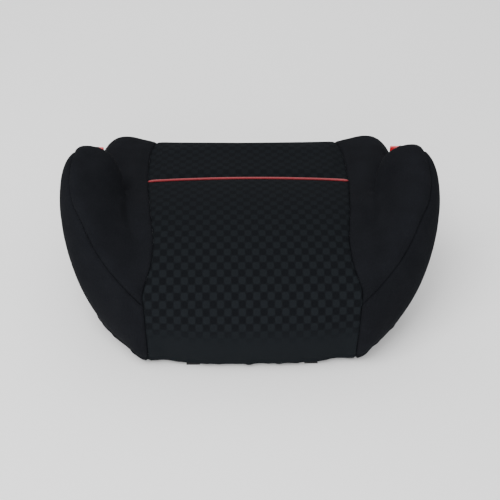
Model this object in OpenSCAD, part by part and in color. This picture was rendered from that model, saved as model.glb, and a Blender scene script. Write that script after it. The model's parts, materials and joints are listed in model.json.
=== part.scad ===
// Backless child booster seat: a moulded shell, foam pads and a sewn fabric cover.
// Millimetres. X runs across the seat, -Y is the front edge, +Z is up.
// The origin is on the floor, under the middle of the seat.

/* [Seat] */
// Width over the widest part of the arms
seat_w = 456; // [430:1:480]
// Depth from the front edge to the back edge
seat_d = 357; // [340:1:380]
// Height of the arm tips above the floor
arm_h = 189; // [180:1:200]
// Half-width of the patterned middle panel
panel_half_w = 124; // [118:1:124]

/* [Cover] */
// Thickness of the sewn cover
cover_t = 2.5; // [2:0.1:2.8]
// Thickness of the seat pad
pad_t = 18; // [15:0.5:20]
// Thickness of the arm pads
arm_pad_t = 6; // [5:0.5:7]
// Diameter of the red piping
piping_d = 3.4; // [3:0.1:4]

/* [Shell] */
// Wall thickness of the moulded shell
wall_t = 2.8; // [2.4:0.1:3.2]
// Thickness of the stiffening ribs
rib_t = 2; // [1.6:0.1:2.4]
// Number of ribs across the shell
ribs_across = 5; // [3:1:7]
// Height of the rubber feet
foot_h = 5.5; // [5:0.1:6]
// Diameter of the rubber feet
foot_d = 32; // [24:1:36]

/* [Fasteners] */
// Thread diameter of the shell screws
screw_d = 4; // [3.5:0.1:4.5]
// Head diameter of the shell screws
screw_head_d = 8.4; // [7.5:0.1:9]

/* [Hidden] */

gap = 0.3;                 // clearance between neighbouring pieces
mid_y = 181.5;             // half the nominal depth, measured from the front edge
nominal_d = 357;           // depth that the outlines below are drawn at
nominal_w = 456;           // width that the outlines below are drawn at
nominal_h = 189;           // arm height that the outlines below are drawn at
kx = seat_w / nominal_w;
ky = seat_d / nominal_d;
kz = arm_h / nominal_h;
foam_g = cover_t + 2 * gap; // depth of the foam's surface below the cover's surface
edge_r = 26;               // rounding of the pad's top edges
hem_z = 4;                 // height of the cover's lower edge
rear_half_w = 190;         // half-width of the rear bolsters
black = "#17181c";
dark_plastic = "#1f2023";
foam_grey = "#8d8f94";
signal_red = "#c8171f";
rubber_black = "#2a2a2c";

// A point given from the front edge, moved into the part's own frame
function at(p) = [p.x * kx, (p.y - mid_y) * ky, p.z * kz];

// Catmull-Rom curve through a list of points, n steps for each span
function curve_point(a, b, c, d, t) =
    0.5 * (2 * b + (c - a) * t + (2 * a - 5 * b + 4 * c - d) * t * t
    + (3 * b - a - 3 * c + d) * t * t * t);
function curve(p, n) = [
    for (i = [0 : len(p) - 2], k = [0 : n - 1])
        curve_point(i == 0 ? 2 * p[0] - p[1] : p[i - 1], p[i], p[i + 1],
            i + 2 >= len(p) ? 2 * p[i + 1] - p[i] : p[i + 2], k / n),
    p[len(p) - 1]
];

// ---- Seat surface ----

// Height of the seat's middle line, as [distance from the front, height]
seat_line = curve([
    [3, 75], [24, 92], [61, 113], [105, 123], [145, 125.5], [173, 122],
    [210, 113], [249, 102], [290, 95], [330, 91.5], [360, 89]
], 4);
function middle_height(y) = lookup(y, seat_line);

function smooth(t) = let (u = min(max(t, 0), 1)) u * u * (3 - 2 * u);

// Extra height of the two rear bolsters beside the middle panel
function bolster(x, y) =
    15 * exp(-pow((abs(x) - 168) / 26, 2)) * smooth((y - 170) / 130);

// Drop of a rounded edge at a distance in from that edge
function edge_drop(d) =
    d >= edge_r ? 0 : edge_r - sqrt(max(edge_r * edge_r - pow(edge_r - d, 2), 0));

function seat_height(x, y) =
    middle_height(y) + bolster(x, y) - edge_drop(rear_half_w - abs(x));

// Where the pad starts at the front: straight under the middle panel, then back
// along the crease between the pad and the arm, and round the belt slot
crease_line = [
    [0, 3], [100, 5], [124, 8], [124.4, 76], [127, 88], [134, 112], [144, 150],
    [150, 190], [158, 222], [176, 246], [190, 262]
];
function pad_front(x) = lookup(abs(x), crease_line);
function pad_back(x) = 360 - 3 * pow(abs(x) / 124, 2);
function piping_y(x) = 239 - 9 * pow(x / 131, 2);

// One front-to-back line over the pad at x, g below the cover's surface; its two
// upright ends lie no deeper than side_g, and a pad's underside stays above the shell
edge_steps = [0, 3, 8, 15, 26];
wall_steps = [[8, hem_z], [3, 22], [0, 44]];
side_g = 11.5;
seam_half = 1.9;
front_steps = 10;
rear_steps = 4;
function top_places(x, f, b) =
    let (p = piping_y(x), n = front_steps + rear_steps + 1)
    abs(x) <= panel_half_w
        ? concat(steps(f, p - seam_half, front_steps), steps(p + seam_half, b, rear_steps))
        : steps(f, b, n);
// Beside the middle panel the pad's front edge ends on the shell, not at the hem; a
// small rise from each point to the next keeps them apart there
function above_shell(p, g, i) =
    abs(p.x) > panel_half_w && p.y < 300
        ? [p.x, p.y, max(p.z, shell_top(p.y) + 3.3 - 0.1 * g + 0.08 * i)]
        : p;
function pad_line(x, g, low) =
    let (line = raw_pad_line(x, g, low))
    [for (i = [0 : len(line) - 1]) above_shell(line[i], g, i)];
function raw_pad_line(x, g, low) =
    let (
        s = min(g, side_g),
        f = pad_front(x) + s,
        b = pad_back(x) - s,
        last = len(edge_steps) - 1
    )
    [
        for (w = wall_steps) [x, f + w.x * (1 - s / side_g), wall_z(w.y, x, f, g, low)],
        for (i = [0 : last - 1])
            let (d = edge_steps[i])
            [x, f + d, seat_height(x, f + d) - edge_drop(d) - g],
        for (y = top_places(x, f + edge_r, b - edge_r))
            [x, y, max(seat_height(x, y) - g, g > cover_t + gap ? shell_top(y) + gap : 0)],
        for (i = [last - 1 : -1 : 0])
            let (d = edge_steps[i])
            [x, b - d, seat_height(x, b - d) - edge_drop(d) - g],
        for (i = [len(wall_steps) - 1 : -1 : 0])
            let (w = wall_steps[i])
            [x, b - w.x * (1 - s / side_g), wall_z(w.y, x, b, g, low)]
    ];
// Height of a point on an upright end, never above the start of the rounded edge
function wall_z(z, x, y, g, low) =
    min(max(z, low), seat_height(x, y) - edge_r - g - 2);
pad_points = 2 * len(wall_steps) + 2 * len(edge_steps) + front_steps + rear_steps;

// A solid between an outer and an inner grid of points of the same size
module sheet_solid(outer, inner) {
    rows = len(outer);
    cols = len(outer[0]);
    half = rows * cols;
    points = [for (g = [outer, inner], r = g, p = r) at(p)];
    faces = [
        for (i = [0 : rows - 2], j = [0 : cols - 2])
            let (a = i * cols + j, b = a + cols)
            each [[a, b + 1, b], [a, a + 1, b + 1],
                [a + half, b + half, b + 1 + half], [a + half, b + 1 + half, a + 1 + half]],
        for (i = [0 : rows - 2])
            let (a = i * cols, b = a + cols, c = a + cols - 1, d = c + cols)
            each [[a, b, b + half], [a, b + half, a + half],
                [c, d + half, d], [c, c + half, d + half]],
        for (j = [0 : cols - 2])
            let (a = j, c = (rows - 1) * cols + j)
            each [[a, a + 1 + half, a + 1], [a, a + half, a + 1 + half],
                [c, c + 1, c + 1 + half], [c, c + 1 + half, c + half]]
    ];
    polyhedron(points, faces, convexity = 6);
}

// A solid lofted through closed rings, with a flat fan at each end
module ring_solid(rings) {
    rows = len(rings);
    cols = len(rings[0]);
    points = [
        for (r = rings, p = r) at(p),
        at(sum_points(rings[0]) / cols),
        at(sum_points(rings[rows - 1]) / cols)
    ];
    first = rows * cols;
    last = first + 1;
    faces = [
        for (i = [0 : rows - 2], j = [0 : cols - 1])
            let (a = i * cols + j, b = i * cols + (j + 1) % cols)
            each [[a, b, b + cols], [a, b + cols, a + cols]],
        for (j = [0 : cols - 1])
            let (k = (j + 1) % cols, z = (rows - 1) * cols)
            each [[first, k, j], [last, z + j, z + k]]
    ];
    polyhedron(points, faces, convexity = 6);
}
function sum_points(list, i = 0) =
    i == len(list) - 1 ? list[i] : list[i] + sum_points(list, i + 1);

// A panel of the pad between two sides and between two points along its lines
module pad_panel(sides, outer_g, inner_g, first, last, low) {
    outer = [for (x = sides) sub_list(pad_line(x, outer_g, low), first, last)];
    inner = [for (x = sides) sub_list(pad_line(x, inner_g, low), first, last)];
    sheet_solid(outer, inner);
}
function sub_list(list, first, last) = [for (i = [first : last]) list[i]];
function steps(a, b, n) = [for (i = [0 : n]) a + (b - a) * i / n];

// ---- Arms ----

// Sections of the right arm from the front corner to its free tip: lower outer
// edge, widest point, outer seam, top, inner face and crease beside the pad
arm_sections = [
    [[125, 10, 4], [125, 7, 42], [125, 24, 92], [125, 42, 105], [125, 58, 112], [125, 74, 114]],
    [[144, 36, 4], [162, 30, 52], [151, 44, 112], [150, 60, 121], [141, 76, 121], [131, 90, 115]],
    [[168, 64, 4], [194, 64, 74], [178, 68, 132], [170, 84, 142], [152, 98, 132], [137, 108, 112]],
    [[186, 100, 4], [216, 100, 104], [196, 97, 155], [187, 110, 163], [165, 122, 148], [145, 132, 112]],
    [[198, 140, 62], [228, 140, 134], [208, 140, 176], [198, 150, 180], [170, 157, 160], [150, 164, 117]],
    [[202, 172, 124], [227, 178, 156], [212, 178, 184], [198, 186, 187], [171, 190, 165], [154, 193, 134]],
    [[200, 198, 152], [212, 208, 166], [207, 210, 178], [195, 213, 181], [178, 211, 168], [169, 206, 154]],
    [[190, 206, 162], [193, 213, 166], [193, 214, 169], [190, 215, 170], [186, 214, 167], [184, 210, 163]]
];
arm_steps = 2;             // rings in each span between two sections
arc_steps = 3;             // points in each span round a section
seam_index = 2 * arc_steps;

arm_rows = [
    for (j = [0 : len(arm_sections[0]) - 1])
        curve([for (s = arm_sections) s[j]], arm_steps)
];
arm_stations = len(arm_rows[0]);
function arm_arc(i) = curve([for (r = arm_rows) r[i]], arc_steps);
function arm_middle(i) =
    (arm_rows[0][i] + arm_rows[1][i] + arm_rows[3][i] + arm_rows[4][i]
    + 2 * arm_rows[5][i]) / 6;

// A point moved towards the middle of its section by g, never past it
function inset(p, c, g) = p + (c - p) * min(g / norm(c - p), 0.8);
function arm_line(i, g) = [for (p = arm_arc(i)) inset(p, arm_middle(i), g)];

module arm_panel(outer_g, inner_g, first, last) {
    outer = [for (i = [0 : arm_stations - 1]) sub_list(arm_line(i, outer_g), first, last)];
    inner = [for (i = [0 : arm_stations - 1]) sub_list(arm_line(i, inner_g), first, last)];
    sheet_solid(outer, inner);
}

// The stiff core of an arm, which stands on the shell and ends in the tip
frame_first = 3;
frame_last = arm_stations - 3;
frame_g = foam_g + arm_pad_t + 8 * gap;
function core_low(p) = max(p.z, shell_top(p.y) + 1);
function core_ring(i) =
    let (line = arm_line(i, frame_g))
    [for (p = line) [p.x, p.y, core_low(p)]];

module arm_core() {
    difference() {
        ring_solid([for (i = [frame_first : frame_last]) core_ring(i)]);
        for (p = arm_screw_places)
            translate(at([p.x, p.y, shell_top(p.y)]))
                cylinder(d = screw_d - 0.6, h = 40, center = true, $fn = 24);
    }
}
arm_screw_places = [[158, 92], [166, 122]];

// ---- Shell ----

// Half of the footprint, from the middle of the front to the middle of the back
half_outline = curve([
    [0, 3], [60, 3], [112, 6], [144, 34], [168, 62], [186, 99], [197, 140],
    [200, 185], [200, 300], [188, 341], [150, 355], [60, 360], [0, 360]
], 3);
function outline(g) =
    let (
        sx = (200 - g) / 200,
        sy = (178.5 - g) / 178.5,
        right = [for (p = half_outline) [p.x * sx * kx, (p.y - mid_y) * sy * ky]],
        n = len(right)
    )
    concat(right, [for (i = [n - 2 : -1 : 1]) [-right[i].x, right[i].y]]);

shell_drop = foam_g + pad_t + 5 * gap;   // depth of the shell's top below the cover
shell_g = 13.5;                          // distance of the shell's wall inside the cover
front_edge = 8.5;                        // where the pad's front edge lies deepest
back_edge = 356.5;
function shell_top(y) =
    middle_height(y) - shell_drop
    - edge_drop(max(y - front_edge - side_g, 0))
    - edge_drop(max(back_edge - side_g - y, 0));
shell_line_y = concat(
    [0], [for (d = edge_steps) front_edge + side_g + d], steps(60, 300, 12),
    [for (i = [len(edge_steps) - 1 : -1 : 0]) back_edge - side_g - edge_steps[i]], [384]);

// The volume under the shell's top, g inside its outer faces, above low
module shell_volume(g, low) {
    side = concat(
        [for (y = shell_line_y) [(y - mid_y) * ky, (shell_top(y) - g) * kz]],
        [[(384 - mid_y) * ky, low], [-mid_y * ky, low]]);
    intersection() {
        linear_extrude(height = 160)
            polygon(outline(shell_g + g));
        rotate([90, 0, 90])
            translate([0, 0, -260])
                linear_extrude(height = 520)
                    polygon(side);
    }
}

bottom_z = foot_h;                       // underside of the bottom cover
plate_t = 3;                             // thickness of the bottom cover's plate
shell_z = bottom_z + plate_t + 0.2;      // lower edge of the shell
boss_places = [for (x = [-104, 0, 104], y = [70, 290]) [x * kx, (y - mid_y) * ky, y]];
foot_places = [for (x = [-138, 138], y = [80, 300]) [x * kx, (y - mid_y) * ky]];
hook_places = [for (x = [-70, 70], y = [-1, 1]) [x * kx, y * (178.5 - 42) * ky]];
loop_z = 2.2;                            // underside of the elastic loops
loop_t = 0.8;
guide_screw_y = [210, 240];
guide_screw_z = 56;

module seat_shell() color(dark_plastic) {
    difference() {
        union() {
            difference() {
                shell_volume(0, shell_z);
                shell_volume(wall_t, shell_z - 5);
            }
            intersection() {
                shell_volume(wall_t / 2, shell_z + 4);
                shell_ribs();
            }
            for (p = boss_places)
                translate([p.x, p.y, shell_z])
                    cylinder(d = 11, h = (shell_top(p.z) - 2) * kz - shell_z, $fn = 32);
            for (s = [0, 1])
                mirror([s, 0, 0])
                    guide_seat();
        }
        for (p = boss_places)
            translate([p.x, p.y, shell_z - 1])
                cylinder(d = screw_d - 0.6, h = 22, $fn = 24);
        for (s = [-1, 1], p = arm_screw_places)
            translate([s * p.x * kx, (p.y - mid_y) * ky, shell_top(p.y) * kz])
                cylinder(d = screw_d + 0.6, h = 30, center = true, $fn = 24);
        for (s = [-1, 1], y = guide_screw_y)
            translate([s * 185 * kx, (y - mid_y) * ky, guide_screw_z])
                rotate([0, 90, 0])
                    cylinder(d = screw_d - 0.6, h = 24, center = true, $fn = 24);
    }
}

// The raised pad on the shell's wall that a belt guide is screwed to
module guide_seat()
    translate([(guide_in_x - 0.2) * kx - 6, (196 - mid_y) * ky, guide_screw_z - 10])
        cube([6, 58 * ky, 18]);

module shell_ribs() {
    for (i = [1 : ribs_across])
        translate([(i / (ribs_across + 1) - 0.5) * 2 * 188 * kx - rib_t / 2, -200, shell_z])
            cube([rib_t, 400, 150]);
    for (y = [115, 180, 245])
        translate([-220, (y - mid_y) * ky - rib_t / 2, shell_z])
            cube([440, rib_t, 150]);
}

module bottom_cover() color(dark_plastic) {
    difference() {
        union() {
            translate([0, 0, bottom_z])
                linear_extrude(height = plate_t)
                    polygon(outline(shell_g));
            translate([0, 0, bottom_z - 1.6])
                linear_extrude(height = 2)
                    difference() {
                        polygon(outline(34));
                        polygon(outline(37));
                    }
            for (y = [130, 181.5, 233])
                translate([-118 * kx, (y - mid_y) * ky - 1.5, bottom_z - 1.6])
                    cube([236 * kx, 3, 2]);
            for (x = [-80, 80])
                translate([x * kx - 1.5, -110 * ky, bottom_z - 1.6])
                    cube([3, 220 * ky, 2]);
        }
        for (p = boss_places)
            translate([p.x, p.y, bottom_z - 5]) {
                cylinder(d = screw_d + 0.6, h = 12, $fn = 24);
                cylinder(d = screw_head_d + 1, h = 6.2, $fn = 32);
            }
        for (p = foot_places)
            translate([p.x, p.y, bottom_z - 5]) {
                cylinder(d = foot_d + 1, h = 5, $fn = 48);
                cylinder(d = 8.4, h = 11, $fn = 24);
            }
        for (p = hook_places)
            translate([p.x - 6.3, p.y - 1.8, bottom_z - 3])
                cube([12.6, 3.6, 9]);
    }
}

module left_arm_frame() color(dark_plastic) mirror([1, 0, 0]) arm_core();
module right_arm_frame() color(dark_plastic) arm_core();

// ---- Belt guides ----

// Side view of a guide: a floor under the arm's tip that curls up behind the slot
guide_floor_z = 97;
guide_t = 3.6;
guide_front_y = 182;
guide_back_y = 262;
guide_lip_r = 22;
guide_in_x = 189.4;
guide_out_x = 203;
flange_t = 3;
guide_arc = [for (a = [0 : 10 : 90]) [sin(a), 1 - cos(a)]];
guide_profile = concat(
    [[guide_front_y, guide_floor_z - 2], [guide_front_y, guide_floor_z + 1]],
    [[guide_front_y + 6, guide_floor_z + guide_t]],
    [for (p = guide_arc)
        [guide_back_y + (guide_lip_r - guide_t) * p.x,
            guide_floor_z + guide_t + (guide_lip_r - guide_t) * p.y]],
    [[guide_back_y + guide_lip_r - guide_t, guide_floor_z + guide_lip_r + 4]],
    [[guide_back_y + guide_lip_r, guide_floor_z + guide_lip_r + 4]],
    [for (i = [len(guide_arc) - 1 : -1 : 0])
        [guide_back_y + guide_lip_r * guide_arc[i].x,
            guide_floor_z + guide_lip_r * guide_arc[i].y]],
    [[guide_front_y + guide_t, guide_floor_z], [guide_front_y + guide_t, guide_floor_z - 2]]
);

module belt_guide() {
    difference() {
        union() {
            extrude_across(guide_in_x, guide_out_x, guide_profile);
            extrude_across(guide_in_x, guide_in_x + flange_t, [
                [198, 46], [252, 46], [260, guide_floor_z + 1], [188, guide_floor_z + 1]
            ]);
        }
        for (y = guide_screw_y)
            translate([guide_in_x * kx, (y - mid_y) * ky, guide_screw_z])
                rotate([0, 90, 0])
                    cylinder(d = screw_d + 0.6, h = 30, center = true, $fn = 24);
    }
}

// A side view, given from the front edge, extruded between two places across
module extrude_across(x0, x1, side) {
    translate([x0 * kx, 0, 0])
        rotate([90, 0, 90])
            linear_extrude(height = (x1 - x0) * kx)
                polygon([for (p = side) [(p.x - mid_y) * ky, p.y]]);
}

module left_belt_guide() color(signal_red) mirror([1, 0, 0]) belt_guide();
module right_belt_guide() color(signal_red) belt_guide();

// ---- Screws, feet and hooks ----

// A cross-head screw, point up, with the underside of its head at the origin
module screw(length) {
    difference() {
        union() {
            translate([0, 0, -2.6])
                cylinder(d = screw_head_d, h = 2.6, $fn = 32);
            cylinder(d = screw_d - 0.7, h = length, $fn = 24);
        }
        for (a = [0, 90])
            rotate([0, 0, a])
                translate([-2.5, -0.5, -3])
                    cube([5, 1, 1.8]);
    }
}

module shell_screws() color("silver")
    for (p = boss_places)
        translate([p.x, p.y, bottom_z + 1.2])
            screw(18);

module arm_screws() color("silver")
    for (s = [-1, 1], p = arm_screw_places)
        translate([s * p.x * kx, (p.y - mid_y) * ky, (shell_top(p.y) - wall_t - 5) * kz])
            screw(22);

module belt_guide_screws() color("silver")
    for (s = [-1, 1], y = guide_screw_y)
        translate([s * (guide_in_x + flange_t) * kx, (y - mid_y) * ky, guide_screw_z])
            rotate([0, -90 * s, 0])
                screw(9);

module rubber_feet() color(rubber_black)
    for (p = foot_places)
        translate([p.x, p.y, 0]) {
            cylinder(d = foot_d, h = foot_h - 0.1, $fn = 48);
            cylinder(d = 8, h = foot_h + 3, $fn = 24);
        }

module cover_hooks() color(dark_plastic)
    for (p = hook_places)
        translate([p.x, p.y, 0]) {
            translate([-6, -1.5, loop_z - 0.2])
                cube([12, 3, shell_z - loop_z]);
            translate([-9, p.y > 0 ? -1.5 : -5.5, loop_z - 1.2])
                cube([18, 7, 1]);
        }

// ---- Foam ----

flank_sides = [124.4, 127, 132, 140, 150, 160, 172, 180, 186.5];
pad_sides = concat(
    [for (i = [len(flank_sides) - 1 : -1 : 0]) -flank_sides[i]],
    steps(-124, 124, 10),
    flank_sides
);

module seat_foam() color(foam_grey)
    pad_panel(pad_sides, foam_g, foam_g + pad_t, 0, pad_points - 1, shell_z + 0.4);

module left_arm_foam() color(foam_grey) mirror([1, 0, 0]) arm_foam();
module right_arm_foam() color(foam_grey) arm_foam();
module arm_foam()
    arm_panel(foam_g, foam_g + arm_pad_t, 1, len(arm_arc(0)) - 2);

// ---- Sewn cover ----

// Where the piping crosses the pad's front-to-back lines
piping_point = len(wall_steps) + len(edge_steps) - 1 + front_steps;
middle_sides = steps(-panel_half_w, panel_half_w, 10);
bolster_sides = concat(flank_sides, [189]);

module cover_seat_panel() color(black)
    pad_panel(middle_sides, 0, cover_t, 0, piping_point, hem_z);
module cover_rear_panel() color(black)
    pad_panel(middle_sides, 0, cover_t, piping_point + 1, pad_points - 1, hem_z);

module bolster_panel()
    pad_panel(bolster_sides, 0, cover_t, 2, pad_points - 1, hem_z);
module cover_left_bolster_panel() color(black) mirror([1, 0, 0]) bolster_panel();
module cover_right_bolster_panel() color(black) bolster_panel();

module inner_arm_panel()
    arm_panel(0, cover_t, seam_index, len(arm_arc(0)) - 1);
module cover_left_arm_panel() color(black) mirror([1, 0, 0]) inner_arm_panel();
module cover_right_arm_panel() color(black) inner_arm_panel();

// The side panel wraps the arm's outer face and the base's wall behind it
side_wall_line = curve([[186, 100], [198, 140], [200, 185], [200, 300], [197, 325], [191.5, 350]], 3);
side_wall_edge = [[96, hem_z], [105, hem_z + 6], [141, 64], [160, 96]];
module outer_side_panel() {
    arm_panel(0, cover_t, 0, seam_index);
    intersection() {
        translate([0, 0, hem_z])
            linear_extrude(height = 150)
                polygon([
                    for (p = side_wall_line) [p.x * kx, (p.y - mid_y) * ky],
                    for (i = [len(side_wall_line) - 1 : -1 : 0])
                        [(side_wall_line[i].x - cover_t) * kx, (side_wall_line[i].y - mid_y) * ky]
                ]);
        extrude_across(150, 210, concat(side_wall_edge, [
            for (y = [172 : 20 : 252]) [y, shell_top(y) - 3], [275, 72], [330, 74], [352, 64], [352, hem_z]
        ]));
    }
}
module cover_left_side_panel() color(black) mirror([1, 0, 0]) outer_side_panel();
module cover_right_side_panel() color(black) outer_side_panel();

// The piping lies in the seam between the seat panel and the rear panel
piping_sides = steps(-panel_half_w - 0.2, panel_half_w + 0.2, 20);
module piping() color(signal_red)
    ring_solid([
        for (x = piping_sides)
            let (y = piping_y(x), z = middle_height(y) + bolster(x, y) + 0.6)
            [for (a = [0 : 36 : 324])
                [x, y + piping_d / 2 * sin(a), z + piping_d / 2 * cos(a)]]
    ]);

module hem_elastic() color(black)
    translate([0, 0, loop_z + loop_t + 0.1])
        linear_extrude(height = 0.8)
            difference() {
                polygon(outline(3));
                polygon(outline(13));
            }

module elastic_loops() color(black)
    for (p = hook_places)
        translate([p.x - 8, p.y > 0 ? p.y + 1.8 : p.y - 33.8, loop_z])
            cube([16, 32, loop_t]);

seat_shell();
bottom_cover();
left_arm_frame();
right_arm_frame();
left_belt_guide();
right_belt_guide();
shell_screws();
arm_screws();
belt_guide_screws();
rubber_feet();
seat_foam();
left_arm_foam();
right_arm_foam();
cover_seat_panel();
cover_rear_panel();
cover_left_bolster_panel();
cover_right_bolster_panel();
cover_left_arm_panel();
cover_right_arm_panel();
cover_left_side_panel();
cover_right_side_panel();
piping();
hem_elastic();
elastic_loops();
cover_hooks();
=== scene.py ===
"""Looks of a backless child booster seat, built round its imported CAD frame.

Shapes are given in millimetres, with Y measured from the seat's front edge, and at() moves
them into the frame, in metres. The sewn cover starts as one padded body: a seat pad and two
arms joined by a voxel remesh and swollen by Blender's cloth solver. That surface is cut
along its seams into panels, and each panel gets a thickness, turned edges and a hem.
"""

import json
import math

import bpy
import numpy as np
from mathutils import Matrix, Vector
from mathutils.bvhtree import BVHTree
from mathutils.kdtree import KDTree

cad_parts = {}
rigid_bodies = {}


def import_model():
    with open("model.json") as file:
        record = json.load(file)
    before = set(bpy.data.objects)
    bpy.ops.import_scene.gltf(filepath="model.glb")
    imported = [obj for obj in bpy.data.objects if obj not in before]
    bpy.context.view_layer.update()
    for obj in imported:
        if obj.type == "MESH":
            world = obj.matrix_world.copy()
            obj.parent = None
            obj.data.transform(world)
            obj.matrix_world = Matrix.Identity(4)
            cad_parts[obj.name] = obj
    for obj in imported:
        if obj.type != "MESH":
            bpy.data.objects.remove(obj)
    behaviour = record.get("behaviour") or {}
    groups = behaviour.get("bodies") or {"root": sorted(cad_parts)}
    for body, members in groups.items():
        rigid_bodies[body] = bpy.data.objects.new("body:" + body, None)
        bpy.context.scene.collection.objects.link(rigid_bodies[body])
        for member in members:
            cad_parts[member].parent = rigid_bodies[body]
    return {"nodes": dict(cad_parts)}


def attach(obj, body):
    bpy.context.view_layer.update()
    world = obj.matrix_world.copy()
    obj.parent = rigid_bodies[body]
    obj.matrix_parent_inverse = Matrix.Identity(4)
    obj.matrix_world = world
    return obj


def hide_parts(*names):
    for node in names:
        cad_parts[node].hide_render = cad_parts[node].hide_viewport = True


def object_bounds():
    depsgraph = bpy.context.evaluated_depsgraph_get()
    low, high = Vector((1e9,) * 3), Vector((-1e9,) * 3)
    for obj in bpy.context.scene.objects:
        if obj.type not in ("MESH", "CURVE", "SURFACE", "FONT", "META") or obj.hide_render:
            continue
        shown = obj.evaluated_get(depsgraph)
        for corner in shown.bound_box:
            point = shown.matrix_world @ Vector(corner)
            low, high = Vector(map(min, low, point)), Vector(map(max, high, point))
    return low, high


for start_object in list(bpy.data.objects):
    bpy.data.objects.remove(start_object)
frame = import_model()
cad_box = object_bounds()

# ---- Scale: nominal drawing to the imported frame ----

NOMINAL = np.array([458.4, 357.0, 188.8])
CAD_SIZE = np.array(cad_box[1] - cad_box[0]) * 1000
SCALE = CAD_SIZE / NOMINAL
MIDDLE_Y = 181.5


def at(points):
    """Millimetres from the front edge to metres in the frame."""
    p = np.array(points, float)
    p[..., 1] -= MIDDLE_Y
    return p * SCALE / 1000


# ---- Curves and numbers ----


def spline(points, n):
    """n points along an open Catmull-Rom curve."""
    p = np.asarray(points, float)
    p = np.vstack([2 * p[0] - p[1], p, 2 * p[-1] - p[-2]])
    t = np.linspace(0, len(p) - 3, n)
    i = np.minimum(t.astype(int), len(p) - 4)
    f = (t - i)[:, None]
    a, b, c, d = p[i], p[i + 1], p[i + 2], p[i + 3]
    return 0.5 * (2 * b + (c - a) * f + (2 * a - 5 * b + 4 * c - d) * f**2 + (3 * b - a - 3 * c + d) * f**3)


def closed_spline(points, n):
    """n points round a closed Catmull-Rom curve."""
    p = np.asarray(points, float)
    t = np.arange(n) * len(p) / n
    i = t.astype(int)
    f = (t - i)[:, None]
    a, b, c, d = (p[(i + k) % len(p)] for k in (-1, 0, 1, 2))
    return 0.5 * (2 * b + (c - a) * f + (2 * a - 5 * b + 4 * c - d) * f**2 + (3 * b - a - 3 * c + d) * f**3)


def smooth_step(t):
    """From 0 to 1 as t goes from 0 to 1, flat at both ends."""
    t = np.clip(t, 0, 1)
    return t * t * (3 - 2 * t)


def bump(d, width):
    """A smooth bump, 1 where d is 0."""
    return np.exp(-((d / width) ** 2))


# ---- The seat's surface ----

SEAT_LINE = spline(
    [
        (3, 75), (24, 92), (61, 113), (105, 123), (145, 125.5), (173, 122), (210, 113),
        (249, 102), (290, 95), (330, 91), (360, 88),
    ],
    200,
)
EDGE_R = 26.0
FRONT, BACK = 3.0, 360.0
HALF_W = 203.0
FRONT_TAPER = 0.295


def edge_drop(d):
    """How far a rounded edge drops at a distance in from that edge."""
    return EDGE_R - np.sqrt(np.maximum(EDGE_R**2 - np.maximum(EDGE_R - d, 0) ** 2, 0))


def seat_height(x, y):
    """Height of the cover over the seat pad, with the two rear bolsters."""
    bolster = 15.5 * bump(np.abs(x) - 174, 31) * smooth_step((y - 170) / 130)
    return np.interp(y, SEAT_LINE[:, 0], SEAT_LINE[:, 1]) + bolster


def outline(inset, n):
    """The seat pad's plan: squarer at the back, rounder and narrower at the front."""
    turn = np.arange(n) * 2 * math.pi / n
    c, s = np.cos(turn), np.sin(turn)
    power = 2 / np.where(s > 0, 9.0, 4.3)
    x = (HALF_W - inset) * np.sign(c) * np.abs(c) ** power
    half_d = (BACK - FRONT) / 2
    y = FRONT + half_d + (half_d - inset) * np.sign(s) * np.abs(s) ** power
    near_front = np.clip((120 - y) / 117, 0, 1)
    return x * (1 - FRONT_TAPER * near_front**2), y


def pad_rings(g=0.0, n=120):
    """The seat pad's rings from its lower edge to its middle, g below its surface."""
    rings = []
    for inset, z in ((7.5, 5), (2, 18), (-0.5, 38)):
        x, y = outline(inset + g, n)
        rings.append(np.stack([x, y, np.full(n, z)], 1))
    for inset in (0, 3, 8, 14, 20, 26, 40, 60, 85, 115, 150):
        x, y = outline(inset + g, n)
        rings.append(np.stack([x, y, seat_height(x, y) - edge_drop(inset) - g], 1))
    return rings


# ---- The arms ----

# Sections of the right arm from the front corner to its free tip, each round its section:
# lower outer edge, widest point, outer seam, top, inner face, crease and buried inner edge
ARM_SECTIONS = [
    [(100, 24, 14), (100, 14, 45), (100, 28, 82), (100, 40, 92),
     (100, 56, 98), (98, 66, 90), (98, 60, 16)],
    [(122, 16, 8), (131, 7, 42), (129, 26, 95), (131, 42, 107),
     (126, 60, 112), (116, 72, 104), (112, 60, 14)],
    [(144, 36, 8), (162, 31, 54), (152, 44, 112), (150, 60, 121),
     (138, 78, 121), (126, 90, 108), (124, 80, 14)],
    [(168, 64, 8), (197, 64, 76), (180, 68, 132), (170, 84, 142),
     (152, 98, 134), (134, 106, 110), (135, 100, 14)],
    [(186, 100, 8), (217, 100, 106), (198, 97, 155), (187, 110, 163),
     (165, 122, 149), (146, 130, 112), (148, 125, 14)],
    [(202, 140, 60), (226.5, 140, 136), (211, 140, 176), (198, 150, 180),
     (172, 157, 160), (151, 160, 117), (166, 152, 60)],
    [(206, 172, 124), (225, 178, 160), (213.5, 178, 183), (199, 186, 185),
     (168, 192, 169), (155, 194, 134), (178, 184, 120)],
    [(200, 198, 152), (214, 208, 166), (209, 210, 178), (195, 213, 180),
     (172, 213, 170), (164, 207, 151), (185, 200, 144)],
]


def arm_rings(n=44, count=36):
    """Closed rings along the right arm, from the front corner to its tip."""
    sections = np.asarray(ARM_SECTIONS, float)
    rows = np.stack([spline(sections[:, j], count) for j in range(sections.shape[1])], 1)
    return [closed_spline(r, n) for r in rows]


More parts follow.
